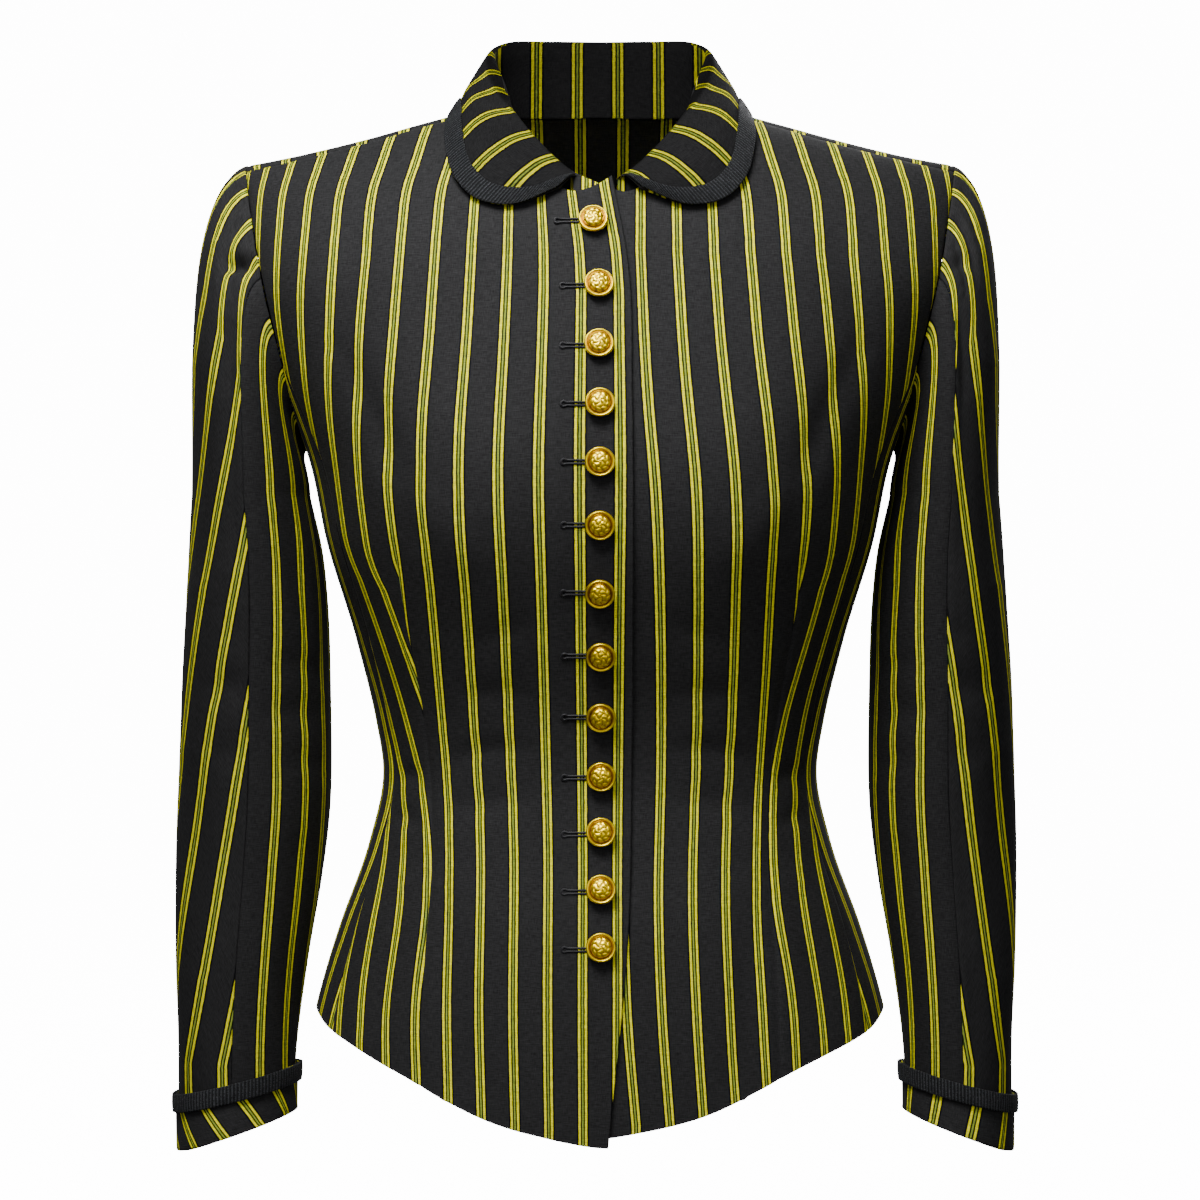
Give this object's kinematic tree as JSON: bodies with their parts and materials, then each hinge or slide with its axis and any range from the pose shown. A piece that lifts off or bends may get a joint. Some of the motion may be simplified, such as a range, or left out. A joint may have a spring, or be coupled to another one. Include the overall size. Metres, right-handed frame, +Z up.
{
  "type": "tailored jacket",
  "caption": "Fitted striped jacket with a rolled collar, domed gilt buttons, long two-piece sleeves, turned-back cuffs and a hem that runs to a point in front.",
  "frame": {"origin": "between the shoulders, in the middle of the neck opening, where the wearer holds the jacket up", "axes": "+Z up from the hem to the neck, the front faces -Y, +X towards the wearer's left sleeve"},
  "size_m": [0.458, 0.2425, 0.6099],
  "materials": {
    "striped_cloth": "matte",
    "black_trim": "matte",
    "gilt_button": "polished"
  },
  "bodies": {
    "root": {"front_right": "striped_cloth", "front_left": "striped_cloth", "side_right": "striped_cloth", "side_left": "striped_cloth", "back": "striped_cloth", "top_sleeve_right": "striped_cloth", "top_sleeve_left": "striped_cloth", "under_sleeve_right": "striped_cloth", "under_sleeve_left": "striped_cloth", "cuff_right": "striped_cloth", "cuff_left": "striped_cloth", "collar": "striped_cloth", "cuff_trim_right": "black_trim", "cuff_trim_left": "black_trim", "collar_trim": "black_trim", "button_01": "gilt_button", "button_02": "gilt_button", "button_03": "gilt_button", "button_04": "gilt_button", "button_05": "gilt_button", "button_06": "gilt_button", "button_07": "gilt_button", "button_08": "gilt_button", "button_09": "gilt_button", "button_10": "gilt_button", "button_11": "gilt_button", "button_12": "gilt_button", "button_13": "gilt_button"}
  },
  "joints": []
}
